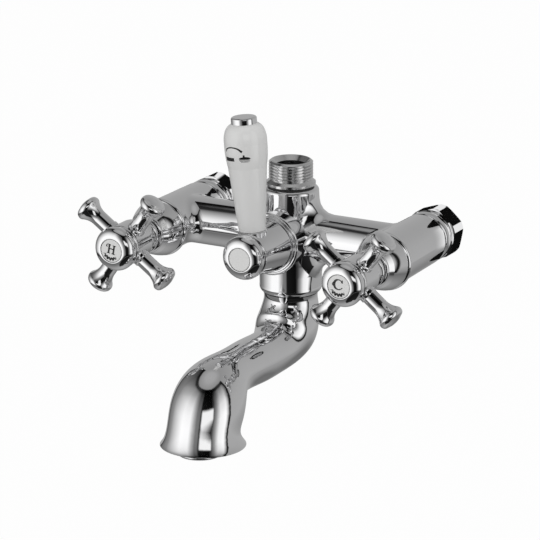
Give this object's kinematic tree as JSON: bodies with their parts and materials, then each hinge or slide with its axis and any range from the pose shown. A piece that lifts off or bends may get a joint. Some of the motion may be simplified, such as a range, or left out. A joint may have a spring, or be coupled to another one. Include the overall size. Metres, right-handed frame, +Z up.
{
  "type": "wall-mounted bath shower mixer tap",
  "caption": "Wall-mounted bath and shower mixer with cross handles, a porcelain diverter lever, a threaded shower outlet on top and a swivelling S-shaped spout.",
  "frame": {"origin": "midway between the two union nuts, on the plane of their wall-side faces, at the height of the valve axes", "axes": "+X to the cold side, along the crossbar; +Y into the wall, the way the supplies leave; +Z up along the shower outlet; the handles face -Y"},
  "size_m": [0.2121, 0.1811, 0.1861],
  "materials": {
    "chrome": "polished chrome plate on brass",
    "porcelain": "glazed white porcelain",
    "brass": "machined brass",
    "ceramic": "lapped alumina ceramic",
    "rubber": "black nitrile rubber",
    "steel": "plain stainless steel",
    "aerator_plastic": "moulded acetal"
  },
  "bodies": {
    "mixer": {"mixer_body": "chrome", "shower_outlet": "chrome", "outlet_gasket": "rubber", "spout_grub_screw": "steel", "diverter_bead_ring": "chrome", "diverter_cartridge_body": "brass", "diverter_fixed_disc": "ceramic", "diverter_seat_seal": "rubber", "hot_nut_clip": "steel", "hot_inlet_washer": "rubber", "hot_bead_ring": "chrome", "hot_bonnet": "chrome", "hot_cartridge_body": "brass", "hot_fixed_disc": "ceramic", "hot_seat_seal": "rubber", "cold_nut_clip": "steel", "cold_inlet_washer": "rubber", "cold_bead_ring": "chrome", "cold_bonnet": "chrome", "cold_cartridge_body": "brass", "cold_fixed_disc": "ceramic", "cold_seat_seal": "rubber"},
    "diverter": {"diverter_hub": "chrome", "diverter_spindle": "brass", "diverter_spindle_oring": "rubber", "diverter_moving_disc": "ceramic", "diverter_hub_screw": "steel", "diverter_bezel": "chrome", "diverter_index": "porcelain", "diverter_lever": "porcelain", "diverter_lever_cap": "chrome", "diverter_lever_stud": "steel"},
    "spout": {"spout_tube": "chrome", "spout_orings": "rubber", "aerator_housing": "chrome", "aerator_insert": "aerator_plastic", "aerator_washer": "rubber"},
    "hot_handle": {"hot_handle_hub": "chrome", "hot_handle_spokes": "chrome", "hot_handle_screw": "steel", "hot_bezel": "chrome", "hot_index": "porcelain", "hot_spindle": "brass", "hot_spindle_oring": "rubber", "hot_moving_disc": "ceramic"},
    "hot_union_nut": {"hot_union_nut": "chrome"},
    "cold_handle": {"cold_handle_hub": "chrome", "cold_handle_spokes": "chrome", "cold_handle_screw": "steel", "cold_bezel": "chrome", "cold_index": "porcelain", "cold_spindle": "brass", "cold_spindle_oring": "rubber", "cold_moving_disc": "ceramic"},
    "cold_union_nut": {"cold_union_nut": "chrome"}
  },
  "joints": [
    {"name": "hot_handle_turn", "type": "hinge", "parent": "mixer", "child": "hot_handle", "pos_m": [-0.075, -0.11, 0], "axis": [0, -1, 0], "range_deg": [0, 90]},
    {"name": "cold_handle_turn", "type": "hinge", "parent": "mixer", "child": "cold_handle", "pos_m": [0.075, -0.11, 0], "axis": [0, 1, 0], "range_deg": [0, 90]},
    {"name": "diverter_lever_turn", "type": "hinge", "parent": "mixer", "child": "diverter", "pos_m": [0, -0.09, 0], "axis": [0, -1, 0], "range_deg": [-45, 45]},
    {"name": "spout_swivel", "type": "hinge", "parent": "mixer", "child": "spout", "pos_m": [0, -0.0482, -0.03], "axis": [0, 0, 1], "range_deg": [-60, 60]},
    {"name": "hot_union_nut_spin", "type": "hinge", "parent": "mixer", "child": "hot_union_nut", "pos_m": [-0.075, -0.01, 0], "axis": [0, 1, 0], "continuous": true},
    {"name": "cold_union_nut_spin", "type": "hinge", "parent": "mixer", "child": "cold_union_nut", "pos_m": [0.075, -0.01, 0], "axis": [0, 1, 0], "continuous": true}
  ]
}
